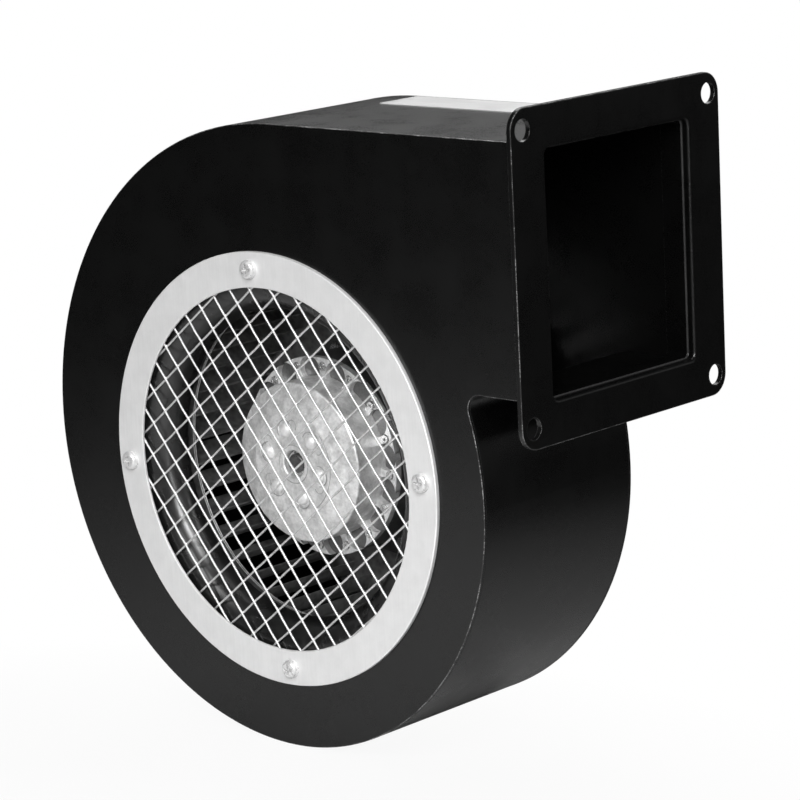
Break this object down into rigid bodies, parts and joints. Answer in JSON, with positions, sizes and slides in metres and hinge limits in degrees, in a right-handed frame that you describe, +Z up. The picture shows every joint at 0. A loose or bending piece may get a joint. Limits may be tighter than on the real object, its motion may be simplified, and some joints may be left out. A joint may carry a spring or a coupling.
{
  "type": "centrifugal fan",
  "caption": "Single-inlet centrifugal blower: scroll casing with square outlet flange, meshed round inlet, forward-curved wheel on an external-rotor motor.",
  "frame": {"origin": "centre of the outlet flange's mating face", "axes": "+X out of the outlet, +Z up, the fan's axis along Y with the inlet facing -Y"},
  "size_m": [0.2753, 0.1252, 0.2731],
  "materials": {
    "casing_black": "black powder coat, satin",
    "nozzle_black": "black enamel, glossy",
    "zinc_sheet": "bright zinc plate, slightly worn",
    "zinc_wire": "bright zinc plate",
    "zinc_screw": "bright zinc plate",
    "wheel_steel": "dark galvanised sheet, dull",
    "shell_steel": "grey drawn sheet, dull",
    "cast_aluminium": "die cast, mottled",
    "core_steel": "stacked electrical steel",
    "bearing_steel": "ground and polished",
    "shaft_steel": "ground",
    "winding_copper": "enamelled copper wire",
    "insulator_plastic": "off-white, matt",
    "grommet_rubber": "black, matt",
    "label_silver": "pale silver film, blank"
  },
  "bodies": {
    "casing": {"front_side_plate": "casing_black", "scroll_wrapper": "casing_black", "rear_side_plate": "casing_black", "outlet_flange": "casing_black", "inlet_nozzle": "nozzle_black", "guard_ring": "zinc_sheet", "guard_mesh_front_wires": "zinc_wire", "guard_mesh_rear_wires": "zinc_wire", "guard_screws": "zinc_screw", "guard_nuts": "zinc_screw", "rating_plate": "label_silver", "bearing_outer_races": "bearing_steel", "bearing_balls": "bearing_steel", "preload_spring": "shaft_steel", "motor_flange": "cast_aluminium", "bearing_cover": "zinc_sheet", "stator_core": "core_steel", "slot_insulators": "insulator_plastic", "stator_windings": "winding_copper", "motor_screws": "zinc_screw", "motor_washers": "zinc_screw", "cable_grommet": "grommet_rubber"},
    "rotor": {"impeller_blades": "wheel_steel", "impeller_front_ring": "wheel_steel", "impeller_hub_disc": "wheel_steel", "rotor_shell": "shell_steel", "hub_rivets": "shaft_steel", "rotor_end_cap": "cast_aluminium", "cap_rivets": "shaft_steel", "rotor_core": "core_steel", "rotor_cage": "cast_aluminium", "shaft": "shaft_steel", "shaft_circlips": "shaft_steel", "bearing_inner_races": "bearing_steel"}
  },
  "joints": [
    {"name": "rotor_spin", "type": "hinge", "parent": "casing", "child": "rotor", "pos_m": [-0.1489, 0, -0.09245], "axis": [0, 1, 0], "continuous": true}
  ]
}
